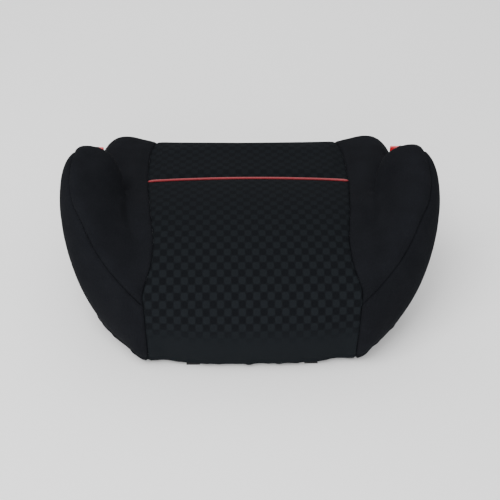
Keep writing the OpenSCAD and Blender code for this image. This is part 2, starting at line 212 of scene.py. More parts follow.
def loft(rings):
    """A closed mesh through rings of equal length, with a fan at each end."""
    n, m = len(rings[0]), len(rings)
    v = np.vstack([*rings, rings[0].mean(0), rings[-1].mean(0)])
    faces = []
    for i in range(m - 1):
        for j in range(n):
            a, b = i * n + j, i * n + (j + 1) % n
            faces.append((a, b, b + n, a + n))
    for j in range(n):
        k = (j + 1) % n
        faces.append((n * m, k, j))
        faces.append((n * m + 1, (m - 1) * n + j, (m - 1) * n + k))
    return v, faces


# ---- Blender meshes to and from arrays ----


def new_object(name, vertices, faces, metres=False):
    """A mesh object in the scene; its points are millimetres unless metres is set."""
    mesh = bpy.data.meshes.new(name)
    points = vertices if metres else at(vertices)
    mesh.from_pydata([tuple(p) for p in points], [], [tuple(int(i) for i in f) for f in faces])
    mesh.validate()
    mesh.update()
    obj = bpy.data.objects.new(name, mesh)
    bpy.context.scene.collection.objects.link(obj)
    return obj


def modified(obj):
    """A new mesh with the object's modifiers applied."""
    graph = bpy.context.evaluated_depsgraph_get()
    return bpy.data.meshes.new_from_object(obj.evaluated_get(graph), depsgraph=graph)


def vertices_of(mesh):
    """A mesh's vertices as an array, in metres."""
    co = np.empty(len(mesh.vertices) * 3)
    mesh.vertices.foreach_get("co", co)
    return co.reshape(-1, 3)


def edges_of(mesh):
    """A mesh's edges as pairs of vertex numbers."""
    e = np.empty(len(mesh.edges) * 2, int)
    mesh.edges.foreach_get("vertices", e)
    return e.reshape(-1, 2)


def normals_of(mesh):
    """A mesh's vertex normals as an array."""
    n = np.empty(len(mesh.vertices) * 3)
    mesh.vertices.foreach_get("normal", n)
    return n.reshape(-1, 3)


def relaxed(v, edges, times, factor=0.5):
    """Vertices moved towards their neighbours' mean."""
    n = len(v)
    degree = np.maximum(np.bincount(edges.ravel(), minlength=n), 1)[:, None]
    for _ in range(times):
        total = np.zeros_like(v)
        for k in range(v.shape[1]):
            for here, there in ((0, 1), (1, 0)):
                total[:, k] += np.bincount(edges[:, here], v[edges[:, there], k], n)
        v = v + factor * (total / degree - v)
    return v


def smoothed(v, edges, times):
    """Relaxed vertices that keep their volume: the broad part of what was lost is put back."""
    soft = relaxed(v, edges, times)
    return soft + relaxed(v - soft, edges, 30)


def distance_to(points, targets):
    """Distance from each point to the nearest target, and that target's index."""
    tree = KDTree(len(targets))
    for i, p in enumerate(targets):
        tree.insert(p, i)
    tree.balance()
    found = [tree.find(p)[1:] for p in points]
    return np.array([f[1] for f in found]), np.array([f[0] for f in found])


# ---- Seams, in millimetres on the right side ----

PANEL_EDGE = spline(
    [
        (4, 121), (10, 122.5), (20, 124), (30, 125), (45, 121.5), (62, 117.5), (80, 115.5),
        (105, 115.5), (147, 121),
        (180, 124.5), (220, 128.5), (250, 130), (278, 130.5), (310, 130), (335, 126.5), (360, 123),
    ],
    240,
)
ARM_SEAM = spline(
    [
        (123, 22, 86), (134, 28, 95), (144, 35, 101), (154, 44, 108), (164, 53, 116),
        (176, 65, 128), (187, 81, 141),
        (196, 97.5, 153), (205, 115, 160), (210, 135, 168), (212.5, 158, 178), (211.5, 180, 181),
        (208, 204, 171),
        (201, 206, 156), (192, 194, 132), (191, 190, 106), (193, 215, 92), (194, 250, 80),
        (193, 300, 78), (189, 335, 76),
        (180, 350, 62), (176, 356, 34), (175, 357, 8), (174, 352, 4), (172, 336, 4),
    ],
    460,
)
CREASE = spline(
    [
        (122, 62, 112), (128, 84, 115), (138, 108, 115), (150, 146, 118), (158, 188, 118),
        (166, 225, 115), (175, 258, 110), (185, 290, 104),
    ],
    160,
)


def panel_half_width(y):
    """Half the middle panel's width at y."""
    return np.interp(y, PANEL_EDGE[:, 0], PANEL_EDGE[:, 1])


def piping_y(x):
    """Where the piping runs, a shallow arch across the seat."""
    return 239 - 9 * (x / 131) ** 2 - 3 * (x / 131) ** 8


def seam_points():
    """Points along every seam of the cover, for the padding to pull in at."""
    y = np.linspace(6, 356, 160)
    edge = np.stack([panel_half_width(y), y, seat_height(panel_half_width(y), y)], 1)
    x = np.linspace(-130, 130, 90)
    pipe = np.stack([x, piping_y(x), seat_height(x, piping_y(x))], 1)
    one_side = np.vstack([edge, ARM_SEAM, CREASE[30:]])
    return np.vstack([one_side, one_side * (-1, 1, 1), pipe])


# ---- The padded body ----

VOXEL = 0.0045
CORE_DEPTH = 2.2
SWELL_LIMIT = 4.2
PADDING = 2.6
SEAM_PULL = 9.0
HEM_TOP = 14.0
FOLD_REACH = 22.0  # nearer than this to the fold beside each arm, smoothing is lighter
PRESSURE = 4.0
SIMULATED_FRAMES = 20


def joined_core():
    """The seat pad and both arms, joined into one voxel mesh."""
    pad = loft(pad_rings())
    arm = loft(arm_rings())
    mirrored = (arm[0] * (-1, 1, 1), [f[::-1] for f in arm[1]])
    vertices, faces, start = [], [], 0
    for v, f in (pad, arm, mirrored):
        vertices.append(v)
        faces += [tuple(i + start for i in face) for face in f]
        start += len(v)
    obj = new_object("core", np.vstack(vertices), faces)
    remesh = obj.modifiers.new("union", "REMESH")
    remesh.mode = "VOXEL"
    remesh.voxel_size = VOXEL
    obj.data = modified(obj)
    obj.modifiers.clear()
    return obj


def swollen_body():
    """The pad and arms as one swollen, refined mesh, in metres."""
    obj = joined_core()
    mesh = obj.data
    rough = vertices_of(mesh)
    near_fold, _ = distance_to(np.abs(rough) * (1, 0, 0) + rough * (0, 1, 1), at(CREASE))
    keep = smooth_step((FOLD_REACH - near_fold * 1000) / 18)[:, None]
    v = smoothed(rough, edges_of(mesh), 14) * (1 - keep) + smoothed(rough, edges_of(mesh), 3) * keep
    mesh.vertices.foreach_set("co", v.ravel())
    mesh.update()
    near, _ = distance_to(v, at(seam_points()))
    free = smooth_step((near * 1000 - 2) / SEAM_PULL) * smooth_step((v[:, 2] * 1000 - HEM_TOP) / 25)
    v = v - normals_of(mesh) * (free * CORE_DEPTH / 1000)[:, None]
    mesh.vertices.foreach_set("co", v.ravel())
    mesh.update()
    out = normals_of(mesh)
    step = simulated(obj, free) - v
    length = np.linalg.norm(step, axis=1, keepdims=True)
    step *= np.minimum(1, SWELL_LIMIT / 1000 * (0.25 + 0.75 * free[:, None]) / np.maximum(length, 1e-9))
    moved = v + step + out * (free * PADDING / 1000)[:, None]
    moved = relaxed(moved, edges_of(mesh), 2)
    mesh.vertices.foreach_set("co", moved.ravel())
    mesh.update()
    finer = obj.modifiers.new("finer", "SUBSURF")
    finer.levels = 1
    fine = modified(obj)
    bpy.data.objects.remove(obj)
    return fine


def simulated(obj, free):
    """Vertices after Blender's cloth solver has blown the body up under light pressure."""
    pins = obj.vertex_groups.new(name="pins")
    for i, w in enumerate(1 - free):
        if w > 0.01:
            pins.add([i], float(w), "REPLACE")
    cloth = obj.modifiers.new("cloth", "CLOTH")
    s = cloth.settings
    s.vertex_group_mass = "pins"
    s.use_pressure = True
    s.uniform_pressure_force = PRESSURE
    s.effector_weights.gravity = 0
    s.tension_stiffness = 12
    s.compression_stiffness = 12
    s.bending_stiffness = 0.6
    s.quality = 5
    cloth.point_cache.frame_start = 1
    cloth.point_cache.frame_end = SIMULATED_FRAMES
    for number in range(1, SIMULATED_FRAMES + 1):
        bpy.context.scene.frame_set(number)
    result = vertices_of(modified(obj))
    obj.modifiers.clear()
    bpy.context.scene.frame_set(1)
    return result


# ---- Triangle meshes that can be cut ----
# A surface is an array with one row of numbers for each vertex, of which the first three
# are its place in millimetres, and an array of triangles.


def sides(tris):
    """Unique edges, and each triangle's three edges as indices into them."""
    e = np.sort(np.concatenate([tris[:, [0, 1]], tris[:, [1, 2]], tris[:, [2, 0]]]), 1)
    unique, index = np.unique(e, axis=0, return_inverse=True)
    return unique, index.reshape(3, -1).T


def split(rows, tris, share):
    """Adds a vertex on each edge whose share, from its first end, isn't NaN."""
    edges, of = sides(tris)
    t = share(edges)
    marked = ~np.isnan(t)
    a, b = rows[edges[marked, 0]], rows[edges[marked, 1]]
    new_id = np.full(len(edges), -1)
    new_id[marked] = len(rows) + np.arange(marked.sum())
    rows = np.vstack([rows, a + (b - a) * t[marked, None]])
    mids = new_id[of]
    count = (mids >= 0).sum(1)
    out = [tris[count == 0]]
    for turn in range(3):
        c, m = np.roll(tris, -turn, 1), np.roll(mids, -turn, 1)
        one = (count == 1) & (m[:, 0] >= 0)
        out.append(np.stack([c[one, 0], m[one, 0], c[one, 2]], 1))
        out.append(np.stack([m[one, 0], c[one, 1], c[one, 2]], 1))
        two = (count == 2) & (m[:, 2] < 0)
        out.append(np.stack([m[two, 0], c[two, 1], m[two, 1]], 1))
        out.append(np.stack([c[two, 0], m[two, 0], m[two, 1]], 1))
        out.append(np.stack([c[two, 0], m[two, 1], c[two, 2]], 1))
    every = count == 3
    (c0, c1, c2), (m0, m1, m2) = tris[every].T, mids[every].T
    for corners in ((c0, m0, m2), (m0, c1, m1), (m2, m1, c2), (m0, m1, m2)):
        out.append(np.stack(corners, 1))
    return rows, np.concatenate(out)


def cut(rows, tris, column, snap=0.28):
    """Splits triangles where a column's value changes sign.

    Vertices that are already close to that line are first moved onto it.
    """
    edges, _ = sides(tris)
    f = rows[:, column]
    a, b = edges[:, 0], edges[:, 1]
    cross = f[a] * f[b] < 0
    a, b = a[cross], b[cross]
    t = f[a] / (f[a] - f[b])
    start = np.concatenate([a, b])
    end = np.concatenate([b, a])
    share = np.concatenate([t, 1 - t])
    order = np.argsort(-share)
    order = order[share[order] < snap]
    best = np.full(len(rows), -1)
    best[start[order]] = order
    hit = np.flatnonzero(best >= 0)
    k = best[hit]
    rows = rows.copy()
    rows[hit] = rows[hit] + (rows[end[k]] - rows[hit]) * share[k, None]
    rows[hit, column] = 0

    def crossing(e):
        p, q = rows[e[:, 0], column], rows[e[:, 1], column]
        with np.errstate(invalid="ignore", divide="ignore"):
            return np.where(p * q < 0, p / (p - q), np.nan)

    count = len(rows)
    rows, tris = split(rows, tris, crossing)
    rows[count:, column] = 0
    return rows, tris


def kept(rows, tris, mask):
    """Only the triangles in mask, and their vertices."""
    tris = tris[mask]
    used = np.unique(tris)
    new = np.full(len(rows), -1)
    new[used] = np.arange(len(used))
    return rows[used], new[tris]


def border(tris):
    """Directed border edges of a triangle mesh."""
    e = np.concatenate([tris[:, [0, 1]], tris[:, [1, 2]], tris[:, [2, 0]]])
    key = e.min(1) * (tris.max() + 1) + e.max(1)
    _, index, uses = np.unique(key, return_index=True, return_counts=True)
    return e[index[uses == 1]]


def loops(edges):
    """Border edges put in order, one array of vertices for each closed loop."""
    after = dict(edges.tolist())
    found = []
    while after:
        first, i = next(iter(after.items()))
        line = [first]
        del after[first]
        while i != first and i in after:
            line.append(i)
            i = after.pop(i)
        found.append(np.array(line))
    return sorted(found, key=len, reverse=True)


def normals(points, tris):
    """Unit normals of the vertices of a triangle mesh."""
    a, b, c = points[tris[:, 0]], points[tris[:, 1]], points[tris[:, 2]]
    face = np.cross(b - a, c - a)
    n = np.zeros_like(points)
    for k in range(3):
        for axis in range(3):
            n[:, axis] += np.bincount(tris[:, k], face[:, axis], len(points))
    return n / np.maximum(np.linalg.norm(n, axis=1, keepdims=True), 1e-12)


# ---- The cover's skin: one surface with a hem, then cut into panels ----

HEM_STEPS = [(0.3, 10.2), (1.0, 7.2), (2.4, 4.8), (4.6, 3.3), (8.5, 2.7), (12.5, 2.7)]
# Columns of the skin's rows after the place: the normal, then the signed distances to
# the middle panel's edge, the arm's outer seam and the piping
NORMAL = slice(3, 6)
EDGE, ARM, PIPE = 6, 7, 8


def whole_skin():
    """The cover's whole surface in millimetres, before it is cut into panels."""
    mesh = swollen_body()
    mesh.calc_loop_triangles()
    tris = np.empty(len(mesh.loop_triangles) * 3, int)
    mesh.loop_triangles.foreach_get("vertices", tris)
    tris = tris.reshape(-1, 3)
    v = vertices_of(mesh) * 1000 / SCALE
    v[:, 1] += MIDDLE_Y
    bpy.data.meshes.remove(mesh)
    rows = np.hstack([v, (v[:, 2] - HEM_TOP)[:, None]])
    rows, tris = cut(rows, tris, 3)
    rows, tris = kept(rows, tris, rows[tris, 3].sum(1) > 0)
    return with_hem(creased(rows[:, :3], tris), tris)


def creased(v, tris):
    """The fold beside each arm, deepest at the back, ending in a small dart."""
    right = v * (1, 1, 1)
    right[:, 0] = np.abs(right[:, 0])
    near, index = distance_to(right, CREASE)
    along = index / len(CREASE)
    deep = smooth_step((along - 0.08) / 0.36) * 2.6 + 1.6 * bump(along - 0.36, 0.04)
    return v - normals(v, tris) * (deep * (bump(near, 2.2) + 0.9 * bump(near, 9)))[:, None]


def with_hem(v, tris):
    """The skin carried on below its lower edge, turned under to a narrow hem."""
    loop = loops(border(tris))[0]
    line = v[loop]
    for _ in range(30):
        line = 0.5 * line + 0.25 * (np.roll(line, 1, 0) + np.roll(line, -1, 0))
    along = np.roll(line, -1, 0) - np.roll(line, 1, 0)
    out = np.stack([-along[:, 1], along[:, 0]], 1)
    out /= np.linalg.norm(out, axis=1, keepdims=True)
    if (out * (line[:, :2] - line[:, :2].mean(0))).sum() < 0:
        out = -out
    n, previous = len(loop), loop
    for inset, z in HEM_STEPS:
        ring = np.hstack([v[loop, :2] - out * inset, np.full((n, 1), z)])
        ids = len(v) + np.arange(n)
        v = np.vstack([v, ring])
        a, b, c, d = previous, np.roll(previous, -1), np.roll(ids, -1), ids
        tris = np.vstack([tris, np.stack([b, a, d], 1), np.stack([b, d, c], 1)])
        previous = ids
    return gathers(v, line), tris


def arm_side(v, tris):
    """Positive on the inner side of the arm's outer seam, by the nearest piece of the seam.

    Far from the seam the sign spreads from vertex to vertex.
    """
    n = normals(v, tris)
    right = v * (1, 1, 1)
    right[:, 0] = np.abs(right[:, 0])
    n[:, 0] *= np.sign(v[:, 0] + 1e-9)
    near, index = distance_to(right, ARM_SEAM)
    step = np.gradient(ARM_SEAM, axis=0)
    step /= np.linalg.norm(step, axis=1, keepdims=True)
    _, foot = distance_to(ARM_SEAM, right)
    up = n[foot]
    for _ in range(12):
        up[1:-1] = 0.5 * up[1:-1] + 0.25 * (up[:-2] + up[2:])
    side = np.cross(up, step)
    side /= np.linalg.norm(side, axis=1, keepdims=True)
    value = ((right - ARM_SEAM[index]) * side[index]).sum(1)
    known = near < 22
    value[~known] = 0
    edges, _ = sides(tris)
    edges = edges[(np.abs(v[edges, 0]) > 100).all(1)]
    for _ in range(400):
        a, b = edges[:, 0], edges[:, 1]
        if known[np.unique(edges)].all():
            break
        for p, q in ((a, b), (b, a)):
            grow = known[p] & ~known[q]
            value[q[grow]] = np.sign(value[p[grow]]) * 30
            known[q[grow]] = True
    return value


def gathers(v, line):
    """Small puckers that the hem's elastic draws in the cloth, strongest low down."""
    low = v[:, 2] < 36
    _, nearest = distance_to(v[low] * (1, 1, 0), line * (1, 1, 0))
    step = np.linalg.norm(np.roll(line, -1, 0) - line, axis=1)
    s = (np.cumsum(step) - step)[nearest]
    turns = 2 * math.pi / step.sum()
    wave = np.zeros(low.sum())
    for count, size, phase in ((31, 0.55, 0.4), (47, 0.5, 2.1), (74, 0.45, 4.0), (113, 0.3, 1.2)):
        wave += size * np.sin(s * turns * count + phase)
    x, y = v[low, 0], v[low, 1]
    middle = 0.55 + 0.9 * bump(x - 25, 45) * (y < 60)
    weight = smooth_step((34 - v[low, 2]) / 30)
    middle_xy = np.array([0, MIDDLE_Y])
    out = v[low, :2] - middle_xy
    out /= np.maximum(np.linalg.norm(out, axis=1, keepdims=True), 1e-9)
    v = v.copy()
    v[low, :2] += out * (wave * middle * weight)[:, None]
    under = smooth_step((9 - v[low, 2]) / 4)
    v[low, 2] += np.minimum((0.5 * wave * under + 0.25 * wave * weight) * middle, 0.1)
    return v


def seam_dip(d, v):
    """How far the cloth turns in beside a seam, with the thread's small puckers."""
    x, y, z = v[:, 0], v[:, 1], v[:, 2]
    pucker = np.sin(x * 0.61 + y * 0.83 + z * 0.47) + np.sin(x * 1.13 - y * 0.71)
    return (0.9 + 0.12 * pucker) * bump(d, 7) + 1.7 * bump(d, 1.7)


def closed_sheet(outer, inner, tris):
    """A closed mesh between two skins of the same triangles."""
    n = len(outer)
    rim = border(tris)
    a, b = rim[:, 0], rim[:, 1]
    rim_faces = [np.stack([b, a, a + n], 1), np.stack([b, a + n, b + n], 1)]
    faces = np.vstack([tris, tris[:, ::-1] + n, *rim_faces])
    return np.vstack([outer, inner]), faces


CLOTH_T = 2.2
SEAM_GAP = 0.2
# Width, length and area of each panel as cut, in metres
FLAT = {
    "cover_middle_panel": (0.262, 0.345, 0.078),
    "cover_rear_panel_cloth": (0.266, 0.226, 0.0535),
    "cover_inner_panel": (0.170, 0.370, 0.0370),
    "cover_outer_panel": (0.180, 0.500, 0.0500),
}


def panel(name, rows, tris, mask, seams, material, cad_nodes):
    """One sewn panel of the cover: its skin with turned edges, given the cloth's thickness."""
    rows, tris = kept(rows, tris, mask)
    near, _ = distance_to(rows[:, :3], seams)

    def halves(e):
        length = np.linalg.norm(rows[e[:, 0], :3] - rows[e[:, 1], :3], axis=1)
        return np.where((near[e].max(1) < 7) & (length > 1.3), 0.5, np.nan)

    rows, tris = split(rows, tris, halves)
    near, _ = distance_to(rows[:, :3], seams)
    edge = np.unique(border(tris))
    edges, _ = sides(tris)
    v, n = rows[:, :3], rows[:, NORMAL]
    n = n / np.linalg.norm(n, axis=1, keepdims=True)
    pulled = relaxed(v, edges, 1, 1.0) - v
    length = np.linalg.norm(pulled[edge], axis=1, keepdims=True)
    v = v - n * seam_dip(near, v)[:, None]
    v[edge] += pulled[edge] / np.maximum(length, 1e-6) * np.minimum(SEAM_GAP, length)
    points, faces = closed_sheet(v, v - n * CLOTH_T, tris)
    points[:, 2] = np.maximum(points[:, 2], 0.6)
    obj = new_object(name, points, faces)
    smooth_shaded(obj)
    weave = obj.data.attributes.new("weave", "FLOAT_VECTOR", "POINT")
    where = np.zeros_like(points)
    where[:, 0] = points[:, 0] / 1000
    if "middle" in name or "rear" in name:
        where[:, 1] = arc_length(points[:, 1:3], MIDDLE_LINE) / 1000
    weave.data.foreach_set("vector", where.ravel())
    obj.data.materials.append(material)
    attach(obj, "root")
    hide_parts(*cad_nodes)
    kind = name.replace("left_", "").replace("right_", "")
    width, length, area = FLAT[kind]


def smooth_shaded(obj):
    """Turns on smooth shading for every face."""
    obj.data.polygons.foreach_set("use_smooth", [True] * len(obj.data.polygons))
    obj.data.update()


def middle_line():
    """The cover's line down its middle, from under the front hem to under the back one."""
    y_top = np.linspace(FRONT, BACK, 300)
    d = np.minimum(y_top - FRONT, BACK - y_top)
    top = np.stack([y_top, seat_height(0, y_top) - edge_drop(d)], 1)
    front = np.array([(24, 4), (14, 4), (9, 7), (6, 20)])
    back = np.array([(357, 20), (354, 7), (349, 4), (339, 4)])
    return np.vstack([front, top, back])


MIDDLE_LINE = middle_line()


def arc_length(points, line):
    """Arc length along a plane line at the point nearest each given point."""
    step = np.diff(line, axis=0)
    length = np.linalg.norm(step, axis=1)
    start = np.concatenate([[0], np.cumsum(length)[:-1]])
    best = np.full(len(points), np.inf)
    found = np.zeros(len(points))
    for a, d, size, s in zip(line[:-1], step, length, start):
        if size < 1e-9:
            continue
        t = np.clip((points - a) @ d / size**2, 0, 1)
        off = ((points - a - t[:, None] * d) ** 2).sum(1)
        closer = off < best
        best[closer] = off[closer]
        found[closer] = s + t[closer] * size
    return found


# ---- Materials ----


class Nodes:
    """A node material, built a node at a time."""

    def __init__(self, name):
        self.material = bpy.data.materials.new(name)
        self.material.use_nodes = True
        self.tree = self.material.node_tree
        self.shader = self.tree.nodes["Principled BSDF"]

    def add(self, kind, values=None, links=None, **settings):
        node = self.tree.nodes.new(kind)
        for key, value in settings.items():
            setattr(node, key, value)
        for key, value in (values or {}).items():
            node.inputs[key].default_value = value
        for key, source in (links or {}).items():
            self.tree.links.new(source, node.inputs[key])
        return node

    def math(self, operation, a, b=0.0, clamp=False):
        node = self.add("ShaderNodeMath", operation=operation, use_clamp=clamp)
        for i, value in enumerate((a, b)):
            if isinstance(value, (int, float)):
                node.inputs[i].default_value = value
            else:
                self.tree.links.new(value, node.inputs[i])
        return node.outputs[0]

    def mixed(self, share, a, b):
        node = self.add("ShaderNodeMix", data_type="RGBA")
        for i, value in ((0, share), (6, a), (7, b)):
            if isinstance(value, (int, float, tuple)):
                node.inputs[i].default_value = value
            else:
                self.tree.links.new(value, node.inputs[i])
        return node.outputs[2]

    def set(self, **values):
        for key, value in values.items():
            self.shader.inputs[key.replace("_", " ")].default_value = value
        return self

    def link(self, socket, source):
        self.tree.links.new(source, self.shader.inputs[socket])
        return self

    def bump(self, height, strength, distance, below=None):
        node = self.add("ShaderNodeBump", {"Strength": strength, "Distance": distance}, {"Height": height})
        if below is not None:
            self.tree.links.new(below, node.inputs["Normal"])
        self.link("Normal", node.outputs[0])
        return node.outputs[0]


def place(m):
    """The object's own coordinates, for a material."""
    return m.add("ShaderNodeTexCoord").outputs["Object"]


CLOTH_SHEEN = {
    "Specular_IOR_Level": 0.02, "Sheen_Weight": 0.006, "Sheen_Roughness": 0.5,
    "Sheen_Tint": (0.7, 0.75, 0.85, 1),
}


def knit():
    """Plain black knit: fine round loops, a soft bloom and slow changes of tone."""
    m = Nodes("black_knit")
    m.set(Roughness=0.92, **CLOTH_SHEEN)
    knots = m.add("ShaderNodeTexVoronoi", {"Scale": 950.0, "Randomness": 1.0}, {"Vector": place(m)})
    slow = m.add("ShaderNodeTexNoise", {"Scale": 38.0, "Detail": 4.0}, {"Vector": place(m)})
    fine = m.add("ShaderNodeTexNoise", {"Scale": 1400.0, "Detail": 2.0}, {"Vector": place(m)})
    slow_part = m.math("MULTIPLY", slow.outputs[0], 0.7)
    tone = m.math("ADD", slow_part, m.math("MULTIPLY", knots.outputs[0], 0.5))
    m.link("Base Color", m.mixed(tone, (0.0038, 0.0041, 0.0051, 1), (0.0092, 0.0098, 0.0120, 1)))
    height = m.math("ADD", knots.outputs[0], m.math("MULTIPLY", fine.outputs[0], 0.35))
    m.bump(height, 0.55, 0.0005)
    return m.material


CHECK_W, CHECK_L = 0.0082, 0.0092


def checked():
    """Black jacquard with a tone-on-tone check, plus painted light: low on the front the check fades into a
    paler plain ground as painted front light, and towards the back its contrast is lowered as painted
    sheen.
    """
    m = Nodes("checked_jacquard")
    m.set(Roughness=0.9, **CLOTH_SHEEN)
    weave = m.add("ShaderNodeAttribute", attribute_name="weave").outputs["Vector"]
    axes = m.add("ShaderNodeSeparateXYZ", links={0: weave})
    cells = [m.math("DIVIDE", axes.outputs[i], size) for i, size in ((0, CHECK_W), (1, CHECK_L))]
    number = m.math("ADD", m.math("FLOOR", cells[0]), m.math("FLOOR", cells[1]))
    odd = m.math("FLOORED_MODULO", number, 2.0)
    off = []
    for cell in cells:
        from_middle = m.math("ABSOLUTE", m.math("SUBTRACT", m.math("FRACT", cell), 0.5))
        off.append(m.math("POWER", from_middle, 3.0))
    square = m.add(
        "ShaderNodeMapRange", {"From Min": 0.06, "From Max": 0.17, "To Min": 1.0, "To Max": 0.0},
        {"Value": m.math("ADD", *off)}, interpolation_type="SMOOTHSTEP",
    )
    along = {"Value": axes.outputs[1]}
    # Painted front light: low on the front the check fades out, where the front light washes over the cloth
    front_glare_fade = m.add(
        "ShaderNodeMapRange", {"From Min": 0.050, "From Max": 0.085}, along,
        interpolation_type="SMOOTHSTEP",
    )
    # Painted sheen: the check's contrast is halved towards the back, where the light catches the cells less
    back = m.add(
        "ShaderNodeMapRange", {"From Min": 0.13, "From Max": 0.27, "To Min": 1.0, "To Max": 0.5}, along
    )
    shown = m.math("MULTIPLY", square.outputs[0], front_glare_fade.outputs[0])
    dark_share = m.math("MULTIPLY", shown, odd)
    threads = m.add(
        "ShaderNodeTexVoronoi", {"Scale": 1100.0, "Randomness": 0.5}, {"Vector": weave},
        voronoi_dimensions="2D",
    )
    slow = m.add("ShaderNodeTexNoise", {"Scale": 30.0, "Detail": 3.0}, {"Vector": place(m)})
    dark = m.mixed(threads.outputs[0], (0.0037, 0.0041, 0.0050, 1), (0.0068, 0.0077, 0.0091, 1))
    pale = m.mixed(threads.outputs[0], (0.0074, 0.0089, 0.0104, 1), (0.0126, 0.0151, 0.0176, 1))
    # Painted front light: the plain ground is made paler low on the front
    front_glare_share = m.math("MULTIPLY", 0.45, m.math("SUBTRACT", 1.0, front_glare_fade.outputs[0]))
    plain = m.mixed(m.math("ADD", 0.35, front_glare_share), dark, pale)
    lit = m.mixed(m.math("MULTIPLY", square.outputs[0], 0.9), plain, pale)
    both = m.mixed(dark_share, m.mixed(front_glare_fade.outputs[0], plain, lit), dark)
    # Mixes in the painted sheen fall-off at the back over the painted front light
    glare_and_sheen_faded = m.mixed(back.outputs[0], m.mixed(0.3, dark, pale), both)
    worn = m.math("MULTIPLY", slow.outputs[0], 0.3)
    m.link("Base Color", m.mixed(worn, glare_and_sheen_faded, (0.0062, 0.0070, 0.0085, 1)))
    raised = m.math("MULTIPLY", threads.outputs[0], 0.5)
    height = m.math("SUBTRACT", raised, m.math("MULTIPLY", dark_share, 0.5))
    m.bump(height, 0.6, 0.0005)
    return m.material


def red_cloth():
    """The piping's red cloth."""
    m = Nodes("red_piping_cloth")
    m.set(Roughness=0.5, Sheen_Weight=0.2, IOR=1.45)
    threads = m.add("ShaderNodeTexNoise", {"Scale": 900.0, "Detail": 2.0}, {"Vector": place(m)})
    m.link("Base Color", m.mixed(threads.outputs[0], (0.16, 0.003, 0.008, 1), (0.30, 0.009, 0.018, 1)))
    m.bump(threads.outputs[0], 0.5, 0.0003)
    return m.material


def moulded(name, low, high, roughness, grain=700.0, strength=0.25, coat=0.0):
    """Moulded plastic or rubber: a fine grain and slight changes of tone and gloss."""
    m = Nodes(name)
    m.set(Coat_Weight=coat, Coat_Roughness=0.08, IOR=1.48)
    pits = m.add("ShaderNodeTexNoise", {"Scale": grain, "Detail": 3.0}, {"Vector": place(m)})
    slow = m.add("ShaderNodeTexNoise", {"Scale": 25.0, "Detail": 3.0}, {"Vector": place(m)})
    m.link("Base Color", m.mixed(slow.outputs[0], low, high))
    spread = {"To Min": roughness * 0.85, "To Max": roughness * 1.15}
    rough = m.add("ShaderNodeMapRange", spread, {"Value": slow.outputs[0]})
    m.link("Roughness", rough.outputs[0])
    m.bump(pits.outputs[0], strength, 0.0002)
    return m.material


def steel():
    """Zinc-plated steel for the screws."""
    m = Nodes("zinc_steel")
    m.set(Metallic=1.0, IOR=2.5)
    marks = m.add("ShaderNodeTexNoise", {"Scale": 420.0, "Detail": 4.0}, {"Vector": place(m)})
    m.link("Base Color", m.mixed(marks.outputs[0], (0.42, 0.42, 0.43, 1), (0.68, 0.68, 0.70, 1)))
    rough = m.add("ShaderNodeMapRange", {"To Min": 0.22, "To Max": 0.42}, {"Value": marks.outputs[0]})
    m.link("Roughness", rough.outputs[0])
    return m.material


# ---- Piping ----

PIPING_RADIUS = 1.6


def tube(line, radius, count=12):
    """A closed tube along a line, with rounded ends."""
    step = np.gradient(line, axis=0)
    step /= np.linalg.norm(step, axis=1, keepdims=True)
    up = np.array([0, 0, 1.0])
    rings = []
    last = len(line) - 1
    for i, (p, t) in enumerate(zip(line, step)):
        side = np.cross(t, up)
        side /= np.linalg.norm(side)
        top = np.cross(side, t)
        scale = {0: 0.35, 1: 0.8, last - 1: 0.8, last: 0.35}.get(i, 1.0)
        turn = np.arange(count) * 2 * math.pi / count
        rings.append(p + radius * scale * (np.cos(turn)[:, None] * side + np.sin(turn)[:, None] * top))
    return loft(rings)


def ride(obj, material, slot, *cad_nodes):
    """Gives a piece its material, smooth shading and body, and hides the CAD nodes it stands in for; the
    slot is not used.
    """
    obj.data.materials.append(material)
    smooth_shaded(obj)
    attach(obj, "root")
    if cad_nodes:
        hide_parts(*cad_nodes)
    return obj


# ---- Cover ----


def cover():
    """Builds the cover's panels and piping; gives the whole skin for the inner pieces to stay in."""
    v, tris = whole_skin()
    skin = BVHTree.FromPolygons(at(v).tolist(), tris.tolist())
    edge_value = np.abs(v[:, 0]) - panel_half_width(v[:, 1])
    pipe_value = v[:, 1] - piping_y(v[:, 0])
    values = np.stack([edge_value, arm_side(v, tris), pipe_value], 1)
    rows = np.hstack([v, normals(v, tris), values])
    rows, tris = cut(rows, tris, EDGE)
    inside = rows[tris, EDGE].sum(1) < 0
    middle, middle_tris = kept(rows, tris, inside)
    flank, flank_tris = kept(rows, tris, ~inside)
    middle, middle_tris = cut(middle, middle_tris, PIPE)
    flank, flank_tris = cut(flank, flank_tris, ARM)
    edge_seam = rows[rows[:, EDGE] == 0, :3]
    arm_seam = flank[flank[:, ARM] == 0, :3]
    pipe_seam = middle[middle[:, PIPE] == 0, :3]
    seams = np.vstack([edge_seam, arm_seam, pipe_seam])
    front = middle[middle_tris, PIPE].sum(1) < 0
    inner = flank[flank_tris, ARM].sum(1) > 0
    right = flank[flank_tris, 0].sum(1) > 0
    check, plain = checked(), knit()
    panel("cover_middle_panel", middle, middle_tris, front, seams, check,
          ["cover_seat_panel"])
    panel("cover_rear_panel_cloth", middle, middle_tris, ~front, seams, check,
          ["cover_rear_panel"])
    for side, here in (("left", ~right), ("right", right)):
        panel(f"cover_{side}_inner_panel", flank, flank_tris, inner & here, seams, plain,
              [f"cover_{side}_bolster_panel", f"cover_{side}_arm_panel"])
        panel(f"cover_{side}_outer_panel", flank, flank_tris, ~inner & here, seams, plain,
              [f"cover_{side}_side_panel"])
    piping(pipe_seam)
    return skin


